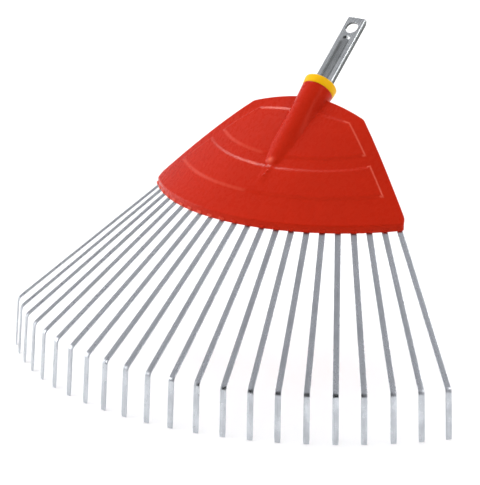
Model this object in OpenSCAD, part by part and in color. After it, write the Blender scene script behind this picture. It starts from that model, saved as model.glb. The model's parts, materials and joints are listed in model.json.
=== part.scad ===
// Head of a spring-tine leaf rake: flat sprung tines fanned out under a moulded shroud,
// with a pressed-steel tang that latches into a handle.
// The origin is the centre of the tang's latch hole. +X is across the rake, -Y is the way
// the tines point, +Z is up, and the tine tips all touch one level plane below.

/* [Tines] */
// Number of tines
tine_count = 22; // [10:1:24]
// Width across the two outer tips, between tine centres
working_w = 420; // [380:5:460]
// Angle of an outer tine from straight ahead
fan_half_angle = 50.4; // [40:0.1:51]
// Width of a tine's strip
tine_w = 5; // [4:0.1:6]
// Thickness of a tine's strip
tine_t = 1.2; // [0.8:0.1:1.4]
// Slope of the tines below level
slope = 38.5; // [34:0.5:42]
// Height at which a tine turns down into its hook
hook_h = 40.5; // [30:0.5:50]
// How far a hook leans outwards from upright, in degrees
hook_lean = 3.6; // [0:0.1:8]
// Radius of the bend into the hook
hook_r = 6.5; // [4:0.5:10]
// Radius in plan at which a tine's root toe turns down
root_r = 134; // [132:0.5:136]
// Radius in plan of the line that a tine rocks about
rock_r = 145.5; // [144.5:0.5:146]
// Length of the root toe
toe_l = 4; // [3:0.5:5]

/* [Shroud] */
// Radius in plan of the shroud's lower edge
edge_r = 152.5; // [151:0.5:156]
// Distance from the tines' middle plane to the shroud's top face at its lower edge
cover_lift = 5.8; // [5.5:0.1:7]
// Wall thickness of the shroud
wall = 2.4; // [2:0.1:2.6]
// Depth of the turned-down rim and the ribs
rim_d = 9; // [6:0.5:12]
// Height of the top edge above the tips' plane, at the middle
top_h = 216; // [213:0.5:218]
// Slope of the crown that eases the cone below the top edge
crown_slope = 32; // [30:0.5:34]
// Radius of the crown across the rake
crown_r = 400; // [320:10:440]
// Half width of the shroud at its upper corners
upper_half_w = 53; // [48:0.5:58]
// Half width of the shroud at its lower corners
lower_half_w = 124; // [120:0.5:126]
// Height of the raised panels
panel_h = 0.9; // [0.5:0.1:1.2]
// Border between the raised panels and the shroud's side edges
panel_border = 9.7; // [6:0.5:12]
// Radius in plan of the upper raised panel's lower edge
upper_panel_r = 100.4; // [94:0.2:102]
// Radius in plan of the lower raised panel's upper edge
lower_panel_in_r = 107.4; // [104:0.2:112]
// Radius in plan of the lower raised panel's lower edge
lower_panel_out_r = 133; // [124:0.2:136]

/* [Socket, collar and tang] */
// Slope of the socket and tang above level
tang_pitch = 37.2; // [34:0.1:40]
// Socket radius at the collar
socket_r = 13.5; // [12.8:0.1:14]
// Socket radius at its blind end
socket_end_r = 9.8; // [9.4:0.1:12]
// Length of the socket from the collar to its blind end
socket_l = 84; // [76:1:90]
// Outer radius of the collar at the handle side
collar_r = 14.4; // [14:0.1:15]
// Height of the collar
collar_l = 7.4; // [6:0.1:9]
// Width of the tang
tang_w = 17.2; // [16.4:0.1:17.6]
// Depth of the tang over its flanges
tang_d = 4.5; // [4:0.1:6]
// Sheet thickness of the tang
tang_t = 1.8; // [1.5:0.1:2]
// Length of the tang that stands out of the collar
tang_out_l = 71.4; // [60:0.5:80]
// Length of the tang inside the socket and collar
tang_in_l = 58; // [50:1:62]
// Radius of the latch hole
latch_r = 5.5; // [4.5:0.1:6]
// Distance from the latch hole's centre to the tang's end
latch_to_end = 10.8; // [9:0.1:14]

/* [Hidden] */
function two_digits(i) = str(i < 10 ? "0" : "", i);
function tine_name(i) = str("tine_", two_digits(i));
$fn = 96;
round_fn = 180;
eps = 0.01;

// --- Geometry of the fan. Its axis is upright through x = y = 0, and z = 0 is the tips' plane.
tine_step = 2 * fan_half_angle / (tine_count - 1);
tip_r = working_w / 2 / sin(fan_half_angle);
corner_r = tip_r - hook_h * tan(hook_lean);
function tine_angle(i) = (i - (tine_count + 1) / 2) * tine_step;
// Height of the tines' middle plane at a radius in plan
function tine_z(r) = hook_h + (corner_r - r) * tan(slope);
// A point at a radius on the tines' middle plane, lifted along the plane's normal
function lifted(r, lift) = [r + lift * sin(slope), tine_z(r) + lift * cos(slope)];

// --- The shroud's outline in plan
top_mid = [0, -40];
upper_corner = [upper_half_w, -49.4];
lower_corner = [lower_half_w, -95.2];
front_y = -200;
upper_corner_r = 8;
lower_corner_r = 5;
corner_steps = 8;
function unit(v) = v / norm(v);
function turned(v) = [-v[1], v[0]];
// Where the line through p along u meets the line through q along v
function meet(p, u, q, v) = p + u * ((q - p) * turned(v)) / (u * turned(v));
side_dir = unit(lower_corner - upper_corner);
top_dir = unit(upper_corner - top_mid);
edge_dir = unit(turned(lower_corner));
function fillet(before, p, after, r) =
    let (
        a = unit(before - p),
        b = unit(after - p),
        half = acos(a * b) / 2,
        c = p + unit(a + b) * r / sin(half),
        from = p + a * r / tan(half) - c,
        a0 = atan2(from[1], from[0]),
        sweep = (180 - 2 * half) * sign(a[0] * b[1] - a[1] * b[0])
    )
    [
        for (k = [0:corner_steps])
            let (turn = a0 - sweep * k / corner_steps) c + r * [cos(turn), sin(turn)]
    ];
function backwards(points) = [for (k = [len(points) - 1:-1:0]) points[k]];
function mirrored(points) = [for (p = backwards(points)) [-p[0], p[1]]];
// The right half of the outline, moved in by a distance, from the top middle to the front
function outline_half(inset) =
    let (
        side_p = upper_corner + turned(side_dir) * -inset,
        top_p = top_mid + turned(top_dir) * -inset,
        edge_p = lower_corner - unit(lower_corner) * inset,
        mid = meet(top_p, top_dir, [0, 0], [0, 1]),
        upper = meet(side_p, side_dir, top_p, top_dir),
        lower = meet(side_p, side_dir, edge_p, edge_dir),
        front = meet(edge_p, edge_dir, [0, front_y], [1, 0])
    )
    concat(
        [mid],
        fillet(mid, upper, lower, upper_corner_r),
        fillet(upper, lower, front, lower_corner_r),
        [front]
    );
function outline(inset) = concat(outline_half(inset), mirrored(outline_half(inset)));

// --- The socket and tang line, in the plane x = 0. Its start is in the mouth of the collar.
tang_dir = [cos(tang_pitch), sin(tang_pitch)];
tang_up = [-sin(tang_pitch), cos(tang_pitch)];
mouth = [-29.8, 223.9];
tang_top_n = 1.6;
latch_s = tang_out_l - latch_to_end;
latch_at = mouth + tang_dir * latch_s + tang_up * (tang_top_n - tang_t / 2);

// Moves the fan's own frame to the part's frame
module in_part_frame() {
    translate([0, -latch_at[0], -latch_at[1]]) children();
}

// Puts children on the tines' middle plane: x runs down the slope, z is the plane's normal
module on_fan(angle, r) {
    rotate([0, 0, angle - 90])
    translate([r, 0, tine_z(r)])
    rotate([0, slope, 0])
    children();
}

// Puts children on the tang line: z runs towards the handle, y is up from the tang's face
module on_tang(s) {
    translate([0, mouth[0] + tang_dir[0] * s, mouth[1] + tang_dir[1] * s])
    rotate([tang_pitch - 90, 0, 0])
    rotate([0, 0, 180])
    children();
}

// Puts children on the tang line at a height over it: z is up from the tang's face
module over_tang(s, n) {
    on_tang(s) translate([0, n, 0]) rotate([-90, 0, 0]) children();
}

// ---------------------------------------------------------------- tines
root_p = [root_r, tine_z(root_r)];
down = [cos(slope), -sin(slope)];
lift = [sin(slope), cos(slope)];
hook_turn = 90 - hook_lean;
bend_start = [corner_r, hook_h] - down * hook_r * tan((hook_turn - slope) / 2);
bend_c = bend_start - lift * hook_r;
bend_steps = 10;
function bend_line(r) = [
    for (k = [0:bend_steps])
        let (a = slope + (hook_turn - slope) * k / bend_steps) bend_c + r * [sin(a), cos(a)]
];
// Where the hook's side through p reaches the tips' plane
function tip_point(p) = [p[0] + p[1] * tan(hook_lean), 0];
function last(points) = points[len(points) - 1];

module tine_side() {
    outer = bend_line(hook_r + tine_t / 2);
    inner = bend_line(hook_r - tine_t / 2);
    polygon(concat(
        [root_p + down * tine_t / 2 - lift * (toe_l + tine_t / 2)],
        [root_p - down * tine_t / 2 - lift * (toe_l + tine_t / 2)],
        [root_p - down * tine_t / 2 + lift * tine_t / 2],
        outer,
        [tip_point(last(outer)), tip_point(last(inner))],
        backwards(inner),
        [root_p + down * tine_t / 2 - lift * tine_t / 2]
    ));
}

module tine(i) {
    color("lightsteelblue")
    rotate([0, 0, tine_angle(i) - 90])
    translate([0, tine_w / 2, 0])
    rotate([90, 0, 0])
    linear_extrude(tine_w) tine_side();
}

// ---------------------------------------------------------------- shroud
// Everything under the face moved out by a distance: the face is a cone parallel to the tines,
// eased towards the top edge by a crown, which is a broad cylinder that slopes less
cone_foot_z = 60;
crown_l = 300;
module under_face(out) {
    cone_h = tine_z(0) + (cover_lift + out) / cos(slope) - cone_foot_z;
    intersection() {
        translate([0, 0, cone_foot_z]) cylinder(r1 = cone_h / tan(slope), r2 = 0, h = cone_h, $fn = round_fn);
        translate([0, top_mid[1], top_h])
        rotate([90 + crown_slope, 0, 0])
        translate([0, -crown_r, -crown_l / 3])
        cylinder(r = crown_r + out, h = crown_l, $fn = round_fn);
    }
}

// The solid between the face moved out by hi and by lo
module face_solid(hi, lo) {
    difference() {
        under_face(hi);
        under_face(lo);
    }
}

module outline_prism(inset) {
    linear_extrude(300) polygon(outline(inset));
}

module ring(r_in, r_out) {
    difference() {
        cylinder(r = r_out, h = 300, $fn = round_fn);
        translate([0, 0, -1]) cylinder(r = r_in, h = 302, $fn = round_fn);
    }
}

// Raised panels, with a plain border all round and a plain band between them
upper_panel_back = -54.6;
module panel_areas() {
    intersection() {
        outline_prism(panel_border);
        union() {
            intersection() {
                cylinder(r = upper_panel_r, h = 300, $fn = round_fn);
                translate([-200, front_y, 0]) cube([400, upper_panel_back - front_y, 300]);
            }
            ring(lower_panel_in_r, lower_panel_out_r);
        }
    }
}
module panels() {
    intersection() {
        face_solid(panel_h, -wall / 2);
        panel_areas();
    }
}

// Rim along the top and side edges, stopping short of the clamped band, and ribs under the face
clamp_in_r = 118;
rim_t = 2;
rib_t = 1.8;
rib_in_r = 56;
rib_angles = [-36, -18, 18, 36];
module rim_and_ribs() {
    intersection() {
        face_solid(-wall / 2, -rim_d);
        union() {
            difference() {
                intersection() {
                    outline_prism(0);
                    cylinder(r = clamp_in_r, h = 300, $fn = round_fn);
                }
                outline_prism(rim_t);
            }
            intersection() {
                outline_prism(rim_t / 2);
                union() {
                    for (a = rib_angles)
                        rotate([0, 0, a - 90])
                        translate([rib_in_r, -rib_t / 2, 0])
                        cube([clamp_in_r - rib_in_r - 1, rib_t, 300]);
                    ring(clamp_in_r - rib_t, clamp_in_r);
                }
            }
        }
    }
}

// Turned-down lip at the lower edge, with a notch over each tine for the top of its travel
lip_t = 2;
lip_d = 4.6;
notch_w = 6.6;
notch_top = 2;
notch_l = 14;
module lip() {
    difference() {
        intersection() {
            face_solid(-wall / 2, -lip_d);
            ring(edge_r - lip_t, edge_r);
            outline_prism(0);
        }
        for (i = [1:tine_count])
            on_fan(tine_angle(i), edge_r)
            translate([-notch_l / 2, -notch_w / 2, notch_top - notch_l])
            cube([notch_l, notch_w, notch_l]);
    }
}

// Ridge that the tines rock against, on the shroud's side
nip_t = 1.5;
nip_gap = 0.2;
module upper_nip() {
    intersection() {
        rotate_extrude($fn = round_fn)
        polygon([
            lifted(rock_r, tine_t / 2 + nip_gap) - down * nip_t / 2,
            lifted(rock_r, tine_t / 2 + nip_gap) + down * nip_t / 2,
            lifted(rock_r, cover_lift - wall / 2) + down * nip_t / 2,
            lifted(rock_r, cover_lift - wall / 2) - down * nip_t / 2
        ]);
        outline_prism(0);
    }
}

// Screw places: between the root toes and the inner edge of the clamp plate
screw_r = 126;
screw_step = 18;
screw_count = 6;
boss_r = 4;
pilot_r = 1.4;
pilot_l = 7;
plate_top = -3;
plate_t = 2.4;
module each_screw() {
    for (k = [0:screw_count - 1]) on_fan((k - (screw_count - 1) / 2) * screw_step, screw_r) children();
}
module bosses() {
    each_screw()
    translate([0, 0, plate_top])
    cylinder(r = boss_r, h = cover_lift - wall / 2 - plate_top, $fn = 48);
}
module pilots() {
    each_screw() translate([0, 0, plate_top - 1]) cylinder(r = pilot_r, h = pilot_l, $fn = 32);
}

// Tapered socket with a rounded blind end, and a spigot for the collar
spigot_r = 10.4;
spigot_l = 5.8;
collar_at = -collar_l;
end_round = 5;
socket_end_s = collar_at - socket_l;
module socket_solid() {
    on_tang(socket_end_s + end_round)
    cylinder(r1 = socket_end_r, r2 = socket_r, h = socket_l - end_round, $fn = 96);
    on_tang(socket_end_s)
    rotate_extrude($fn = 96)
    intersection() {
        translate([socket_end_r - end_round, end_round]) circle(r = end_round, $fn = 64);
        square([socket_end_r, end_round]);
    }
    on_tang(socket_end_s) cylinder(r = socket_end_r - end_round, h = end_round + eps, $fn = 96);
    on_tang(collar_at - eps) cylinder(r = spigot_r, h = spigot_l + eps, $fn = 96);
}

// Low spine that carries on from the blind end of the socket
spine_w = 8;
spine_h = 1.5;
spine_from_y = -100;
spine_to_y = -120;
module spine() {
    intersection() {
        face_solid(spine_h, -wall / 2);
        translate([-spine_w / 2, spine_to_y, 0]) cube([spine_w, spine_from_y - spine_to_y, 300]);
    }
}

// Space for the tang, closed towards the shroud
tang_gap = 0.15;
bore_extra_l = 1;
module tang_space(from_s, to_s) {
    on_tang(from_s)
    translate([-tang_w / 2 - tang_gap, tang_top_n - tang_d - tang_gap, 0])
    cube([tang_w + 2 * tang_gap, tang_d + 2 * tang_gap, to_s - from_s]);
}

// The screw through the socket's underside into the tang
fix_s = -34;
fix_r = 2.4;
fix_top_n = 8;
fix_head_r = 4.6;
fix_head_t = 2.6;
fix_seat_n = -10.4;
fix_from_n = -20;
module fix_hole() {
    over_tang(fix_s, fix_from_n) cylinder(r = fix_r, h = fix_top_n + 1 - fix_from_n, $fn = 48);
    over_tang(fix_s, fix_from_n) cylinder(r = fix_head_r + 0.3, h = fix_seat_n - fix_from_n, $fn = 48);
}

module shroud() {
    color("orangered")
    difference() {
        union() {
            intersection() {
                face_solid(0, -wall);
                outline_prism(0);
                cylinder(r = edge_r, h = 300, $fn = round_fn);
            }
            panels();
            rim_and_ribs();
            lip();
            upper_nip();
            bosses();
            spine();
            socket_solid();
        }
        pilots();
        tang_space(-tang_in_l - bore_extra_l, 5);
        fix_hole();
    }
}

// ---------------------------------------------------------------- clamp plate
plate_in_r = 121;
plate_out_r = 147;
// Partition between two tines, and the slot for a root toe
partition_t = 2.4;
partition_from_r = 131.5;
partition_l = 18.5;
partition_top = 0.6;
slot_l = 4.6;
slot_w = 6.6;
module plate_section() {
    polygon([
        lifted(plate_in_r, plate_top - plate_t),
        lifted(plate_out_r, plate_top - plate_t),
        lifted(plate_out_r, plate_top),
        lifted(rock_r, plate_top) + down * nip_t / 2,
        lifted(rock_r, -tine_t / 2 - nip_gap) + down * nip_t / 2,
        lifted(rock_r, -tine_t / 2 - nip_gap) - down * nip_t / 2,
        lifted(rock_r, plate_top) - down * nip_t / 2,
        lifted(plate_in_r, plate_top)
    ]);
}
module partitions() {
    for (i = [1:tine_count - 1])
        on_fan(tine_angle(i + 0.5), partition_from_r)
        translate([0, -partition_t / 2, plate_top - eps])
        cube([partition_l, partition_t, partition_top - plate_top + eps]);
}
module toe_slots() {
    for (i = [1:tine_count])
        on_fan(tine_angle(i), root_r)
        translate([-slot_l / 2 + 0.3, -slot_w / 2, plate_top - plate_t - 1])
        cube([slot_l, slot_w, plate_t + 2]);
}
module clamp_plate() {
    color("firebrick")
    difference() {
        union() {
            intersection() {
                rotate_extrude($fn = round_fn) plate_section();
                outline_prism(0.4);
            }
            partitions();
        }
        toe_slots();
        each_screw()
        translate([0, 0, plate_top - plate_t - 1])
        cylinder(r = screw_shank_r + 0.2, h = plate_t + 2, $fn = 32);
    }
}

// ---------------------------------------------------------------- fasteners
screw_shank_r = 1.35;
screw_head_r = 3.4;
screw_head_t = 2.2;
drive_w = 1.1;
drive_l = 4;
drive_d = 1.2;
module cross_drive(l) {
    for (a = [0, 90]) rotate([0, 0, a]) translate([-l / 2, -drive_w / 2, -1]) cube([l, drive_w, drive_d + 1]);
}
module pan_screw(shank_r, shank_l, head_r, head_t, drive) {
    difference() {
        union() {
            cylinder(r = shank_r, h = shank_l, $fn = 32);
            translate([0, 0, -head_t / 2]) cylinder(r = head_r, h = head_t / 2, $fn = 48);
            translate([0, 0, -head_t]) cylinder(r1 = head_r * 0.7, r2 = head_r, h = head_t / 2, $fn = 48);
        }
        translate([0, 0, -head_t]) cross_drive(drive);
    }
}
screw_l = 8;
// Room for the curve of the plate under a flat screw head
seat_gap = 0.05;
module clamp_screws() {
    color("silver")
    each_screw()
    translate([0, 0, plate_top - plate_t - seat_gap])
    pan_screw(screw_shank_r, screw_l, screw_head_r, screw_head_t, drive_l);
}
module tang_screw() {
    color("silver")
    over_tang(fix_s, fix_seat_n)
    pan_screw(fix_r - 0.1, fix_top_n - fix_seat_n, fix_head_r, fix_head_t, drive_l + 1);
}

// ---------------------------------------------------------------- collar
collar_taper = 0.7;
collar_chamfer = 0.8;
module collar() {
    color("gold")
    difference() {
        union() {
            on_tang(collar_at)
            cylinder(r1 = collar_r - collar_taper, r2 = collar_r, h = collar_l - collar_chamfer);
            on_tang(-collar_chamfer)
            cylinder(r1 = collar_r, r2 = collar_r - collar_chamfer, h = collar_chamfer);
        }
        on_tang(collar_at - 1) cylinder(r = spigot_r + 0.1, h = spigot_l + 1.1, $fn = 96);
        tang_space(-5, 5);
    }
}

// ---------------------------------------------------------------- tang
bead_w = 7;
bead_d = 1.1;
bead_gap = 4;
bead_from_s = -19;
bead_top_s = latch_s - latch_r - bead_gap - bead_w / 2;
tang_chamfer = 2;
// A groove in the face with a round end towards the latch hole, and the ridge behind it
module bead(w, from_s) {
    on_tang(from_s)
    translate([-w / 2, tang_top_n - bead_d, 0])
    cube([w, 2 * bead_d, bead_top_s - from_s]);
    over_tang(bead_top_s, tang_top_n - bead_d) cylinder(r = w / 2, h = 2 * bead_d, $fn = 48);
}
module bead_back(w, from_s) {
    on_tang(from_s)
    translate([-w / 2, tang_top_n - tang_t - bead_d, 0])
    cube([w, tang_t, bead_top_s - from_s]);
    over_tang(bead_top_s, tang_top_n - tang_t - bead_d) cylinder(r = w / 2, h = tang_t, $fn = 48);
}
module channel() {
    difference() {
        on_tang(-tang_in_l)
        translate([-tang_w / 2, tang_top_n - tang_d, 0])
        cube([tang_w, tang_d, tang_in_l + tang_out_l]);
        on_tang(-tang_in_l - 1)
        translate([-tang_w / 2 + tang_t, tang_top_n - tang_d - 1, 0])
        cube([tang_w - 2 * tang_t, tang_d - tang_t + 1, tang_in_l + tang_out_l + 2]);
    }
}
// Cuts the flange ends back at a slant
module flange_cuts() {
    for (side = [-1, 1])
        on_tang(tang_out_l)
        translate([side * tang_w / 2, tang_top_n - tang_d, 0])
        rotate([45, 0, 0])
        cube([2 * tang_t + 2, 2 * tang_chamfer, 2 * tang_chamfer], center = true);
}
module tang() {
    color("lightgray")
    difference() {
        union() {
            channel();
            bead_back(bead_w, bead_from_s - 1);
        }
        bead(bead_w - 2, bead_from_s);
        over_tang(latch_s, tang_top_n - tang_t - 1) cylinder(r = latch_r, h = tang_t + 2, $fn = 64);
        over_tang(fix_s, tang_top_n - tang_t - 1) cylinder(r = fix_r + 0.1, h = tang_t + 2, $fn = 48);
        flange_cuts();
    }
}

in_part_frame() shroud();
in_part_frame() clamp_plate();
in_part_frame() clamp_screws();
in_part_frame() collar();
in_part_frame() tang();
in_part_frame() tang_screw();
for (i = [1:tine_count]) in_part_frame() tine(i);
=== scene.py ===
import json
import math
import random

import bpy
import numpy as np
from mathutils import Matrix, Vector, kdtree
from mathutils.geometry import delaunay_2d_cdt

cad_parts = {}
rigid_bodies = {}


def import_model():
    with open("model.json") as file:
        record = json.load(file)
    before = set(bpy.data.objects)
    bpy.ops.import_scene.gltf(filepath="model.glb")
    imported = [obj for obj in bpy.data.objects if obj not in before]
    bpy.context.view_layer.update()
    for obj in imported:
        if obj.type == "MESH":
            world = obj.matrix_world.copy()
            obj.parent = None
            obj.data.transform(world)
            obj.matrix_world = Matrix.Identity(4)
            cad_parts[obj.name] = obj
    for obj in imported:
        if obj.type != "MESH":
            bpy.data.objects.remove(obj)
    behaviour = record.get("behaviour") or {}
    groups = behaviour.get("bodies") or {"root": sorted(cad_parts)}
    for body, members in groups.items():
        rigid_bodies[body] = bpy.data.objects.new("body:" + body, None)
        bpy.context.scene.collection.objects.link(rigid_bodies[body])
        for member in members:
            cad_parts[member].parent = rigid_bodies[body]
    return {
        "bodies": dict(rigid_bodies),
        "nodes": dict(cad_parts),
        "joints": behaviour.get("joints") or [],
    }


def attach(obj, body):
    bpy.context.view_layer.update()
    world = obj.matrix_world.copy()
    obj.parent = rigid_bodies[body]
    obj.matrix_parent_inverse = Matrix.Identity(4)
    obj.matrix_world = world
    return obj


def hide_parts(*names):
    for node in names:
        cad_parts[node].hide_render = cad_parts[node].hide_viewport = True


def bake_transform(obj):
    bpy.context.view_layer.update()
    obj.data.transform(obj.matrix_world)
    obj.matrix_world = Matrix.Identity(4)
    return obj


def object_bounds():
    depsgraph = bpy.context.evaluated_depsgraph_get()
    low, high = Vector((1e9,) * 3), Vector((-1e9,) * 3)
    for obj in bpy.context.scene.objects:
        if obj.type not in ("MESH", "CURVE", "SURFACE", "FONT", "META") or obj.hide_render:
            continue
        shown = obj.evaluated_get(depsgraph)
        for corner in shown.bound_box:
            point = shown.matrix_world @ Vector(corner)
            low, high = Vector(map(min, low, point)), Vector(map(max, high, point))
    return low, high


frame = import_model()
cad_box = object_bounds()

# Lengths are in millimetres and angles in degrees, in the fan's own frame: its axis is upright
# through x = y = 0, z = 0 is the plane that the tips stand on, and the tines point to -y.
MM = 0.001
TINES = [n for n in frame["bodies"] if n.startswith("tine_")]
JOINT = {j["child"]: j for j in frame["joints"]}


def sin(a):
    return np.sin(np.radians(a))


def cos(a):
    return np.cos(np.radians(a))


def tan(a):
    return np.tan(np.radians(a))


def tine_angle(body):
    """A tine's angle from straight ahead, from its hinge's axis."""
    axis = JOINT[body]["axis"]
    return math.degrees(math.atan2(-axis[1], -axis[0]))


OUTER = tine_angle(TINES[0])
ROCK_R = JOINT[TINES[0]]["pos_m"][0] / sin(OUTER) / MM
FAN = np.array([0, JOINT[TINES[0]]["pos_m"][1] + ROCK_R * MM * cos(OUTER), cad_box[0].z])
STEP = -2 * OUTER / (len(TINES) - 1)

# The same sizes as in the part's source, apart from TOP_H and PANEL_BORDER, which are up to 0.3 mm less
TINE_W, TINE_T, SLOPE = 5.0, 1.2, 38.5
HOOK_H, HOOK_LEAN, HOOK_R = 40.5, 3.6, 6.5
ROOT_R, TOE_L = 134.0, 4.0
TIP_R = 210 / sin(50.4)
CORNER_R = TIP_R - HOOK_H * tan(HOOK_LEAN)
EDGE_R, COVER_LIFT, WALL, RIM_D = 152.5, 5.8, 2.4, 9.0
TOP_H = 215.7
PANEL_H, PANEL_BORDER, PANEL_ARCS, PANEL_BACK = 0.9, 9.5, (100.4, 107.4, 133.0), -54.6
TOP_MID, UPPER_CORNER, LOWER_CORNER = (0.0, -40.0), (53.0, -49.4), (124.0, -95.2)
CLAMP_IN_R, RIM_T, RIB_T, RIB_IN_R, RIB_ANGLES = 118.0, 2.0, 1.8, 56.0, (-36, -18, 18, 36)
LIP_T, LIP_D = 2.0, 4.6
SCREW_R, SCREWS, SCREW_STEP = 126.0, 6, 18
PITCH, MOUTH = 37.2, (-29.8, 223.9)
COLLAR_L, COLLAR_R, COLLAR_TAPER = 7.4, 14.4, 0.7
SOCKET_R, SOCKET_END_R, SOCKET_END_S, END_ROUND = 13.5, 9.8, -91.4, 5.0
SPIGOT_R, SPIGOT_L = 10.4, 5.8
TANG_W, TANG_D, TANG_T, TANG_N = 17.2, 4.5, 1.8, 1.6
TANG_IN, TANG_OUT, LATCH_S, LATCH_R = -58.0, 71.4, 60.6, 5.5


def tine_z(r):
    return HOOK_H + (CORNER_R - r) * tan(SLOPE)


def to_row(points):
    """Points in the fan's frame, in the row frame."""
    return np.asarray(points, float) * MM + FAN


def on_tang(x, s, n):
    """Points across, along and above the tang line, in the fan's frame."""
    x, s, n = np.broadcast_arrays(x, s, n)
    y = MOUTH[0] + s * cos(PITCH) - n * sin(PITCH)
    z = MOUTH[1] + s * sin(PITCH) + n * cos(PITCH)
    return np.stack([x, y, z], -1)


# ---------------------------------------------------------------- meshes
def new_piece(name, points, faces, smooth=True, sharp=40):
    """A mesh object from points in the fan's frame."""
    mesh = bpy.data.meshes.new(name)
    mesh.from_pydata([tuple(p) for p in to_row(points)], [], [tuple(int(i) for i in f) for f in faces])
    mesh.validate()
    piece = bpy.data.objects.new(name, mesh)
    bpy.context.scene.collection.objects.link(piece)
    if smooth:
        mesh.shade_smooth()
        mesh.set_sharp_from_angle(angle=math.radians(sharp))
    return piece


def to_segments(points, loop):
    """Distance from each point to a closed line."""
    a, b = np.asarray(loop), np.roll(loop, -1, axis=0)
    d = b - a
    best = np.full(len(points), 1e9)
    for (ax, ay), (dx, dy) in zip(a, d):
        long2 = dx * dx + dy * dy
        if long2 < 1e-12:
            continue
        px, py = points[:, 0] - ax, points[:, 1] - ay
        t = np.clip((px * dx + py * dy) / long2, 0, 1)
        best = np.minimum(best, (px - t * dx) ** 2 + (py - t * dy) ** 2)
    return np.sqrt(best)


def within(points, loop):
    """Whether each point is inside a closed line."""
    a, b = np.asarray(loop), np.roll(loop, -1, axis=0)
    inside = np.zeros(len(points), bool)
    x, y = points[:, 0], points[:, 1]
    for (ax, ay), (bx, by) in zip(a, b):
        if ay == by:
            continue
        crosses = (ay > y) != (by > y)
        inside ^= crosses & (x < (bx - ax) * (y - ay) / (by - ay) + ax)
    return inside


def depth_in(points, loop):
    """Distance inside a closed line, below 0 outside it."""
    return to_segments(points, loop) * np.where(within(points, loop), 1, -1)


def fill(loops, lines, dots, gap):
    """Triangles over the area inside the first loop and outside the others, along every line."""
    points, edges = [], []
    for k, chain in enumerate(list(loops) + list(lines)):
        start = len(points)
        points += [tuple(p) for p in chain]
        edges += [(start + i, start + i + 1) for i in range(len(chain) - 1)]
        if k < len(loops):
            edges.append((len(points) - 1, start))
    tree = kdtree.KDTree(len(points))
    for i, p in enumerate(points):
        tree.insert((p[0], p[1], 0), i)
    tree.balance()
    dots = np.asarray(dots, float).reshape(-1, 2)
    keep = depth_in(dots, loops[0]) > gap
    for hole in loops[1:]:
        keep &= depth_in(dots, hole) < -gap
    cells = {}
    for p in dots[keep]:
        cell = (math.floor(p[0] / gap), math.floor(p[1] / gap))
        around = [(cell[0] + i, cell[1] + j) for i in (-1, 0, 1) for j in (-1, 0, 1)]
        near = [q for c in around for q in cells.get(c, [])]
        if tree.find((p[0], p[1], 0))[2] > gap and all(math.dist(p, q) > gap * 0.7 for q in near):
            cells.setdefault(cell, []).append(tuple(p))
            points.append(tuple(p))
    made = delaunay_2d_cdt([Vector(p) for p in points], edges, [], 0, 1e-5)
    co = np.array([tuple(c) for c in made[0]])
    tris = np.array(made[2])
    middle = co[tris].mean(1)
    keep = within(middle, loops[0])
    for hole in loops[1:]:
        keep &= ~within(middle, hole)
    tris = tris[keep]
    a, b, c = co[tris[:, 0]], co[tris[:, 1]], co[tris[:, 2]]
    turn = (b[:, 0] - a[:, 0]) * (c[:, 1] - a[:, 1]) - (b[:, 1] - a[:, 1]) * (c[:, 0] - a[:, 0])
    tris[turn < 0] = tris[turn < 0][:, ::-1]
    return co, tris[np.abs(turn) > 1e-9]


def shell(name, loops, top, low, place, top_lines=(), low_lines=(), top_dots=(), low_dots=(),
          gap=0.5, sharp=35, place_low=None, tint=None):
    """A closed solid between two height fields over one flat area. The top has exact normals.
    The loops are the area's outline and its holes, the lines and dots are where its points lie,
    and place turns flat points and heights into points in the fan's frame. The tint function
    gives each point the weight of its painted light: the shroud's painted highlight, the tang's painted
    shade."""
    co_t, tri_t = fill(loops, top_lines, top_dots, gap)
    co_l, tri_l = fill(loops, low_lines, low_dots, gap)
    high, deep = top(co_t), low(co_l)
    under = (place_low or place)(co_l[:, 0], co_l[:, 1], deep)
    points = np.concatenate([place(co_t[:, 0], co_t[:, 1], high), under])
    faces = [tuple(t) for t in tri_t] + [tuple(t[::-1] + len(co_t)) for t in tri_l]
    key = lambda p: (round(p[0] * 1e3), round(p[1] * 1e3))
    at_l = {key(p): i + len(co_t) for i, p in enumerate(co_l)}
    sides = {}
    for t in tri_t:
        for a, b in ((t[0], t[1]), (t[1], t[2]), (t[2], t[0])):
            if (b, a) in sides:
                del sides[(b, a)]
            else:
                sides[(a, b)] = True
    for a, b in sides:
        la, lb = at_l.get(key(co_t[a])), at_l.get(key(co_t[b]))
        if la is None or lb is None:
            raise ValueError(f"{name}: the two sides don't share an edge at {co_t[a]}")
        faces.append((a, la, lb, b))
    piece = new_piece(name, points, faces, sharp=sharp)
    # The shade attribute weighs the painted light that the material mixes in
    if tint:
        shade = piece.data.attributes.new("shade", "FLOAT", "POINT")
        shade.data.foreach_set("value", np.concatenate([tint(co_t, False), tint(co_l, True)]))
    step = 0.03
    dx = (top(co_t + [step, 0]) - top(co_t - [step, 0])) / (2 * step)
    ds = (top(co_t + [0, step]) - top(co_t - [0, step])) / (2 * step)
    origin = place(co_t[:, 0], co_t[:, 1], high)
    to_x = place(co_t[:, 0] + step, co_t[:, 1], high + dx * step) - origin
    to_s = place(co_t[:, 0], co_t[:, 1] + step, high + ds * step) - origin
    normal = np.cross(to_x, to_s)
    normal /= np.linalg.norm(normal, axis=1)[:, None]
    loops_n = np.zeros((len(piece.data.loops), 3))
    index = np.zeros(len(piece.data.loops), int)
    piece.data.loops.foreach_get("vertex_index", index)
    first = np.zeros(len(piece.data.polygons), int)
    piece.data.polygons.foreach_get("loop_start", first)
    end = first[len(tri_t)]
    loops_n[:end] = normal[index[:end]]
    piece.data.normals_split_custom_set([tuple(n) for n in loops_n])
    return piece


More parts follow.
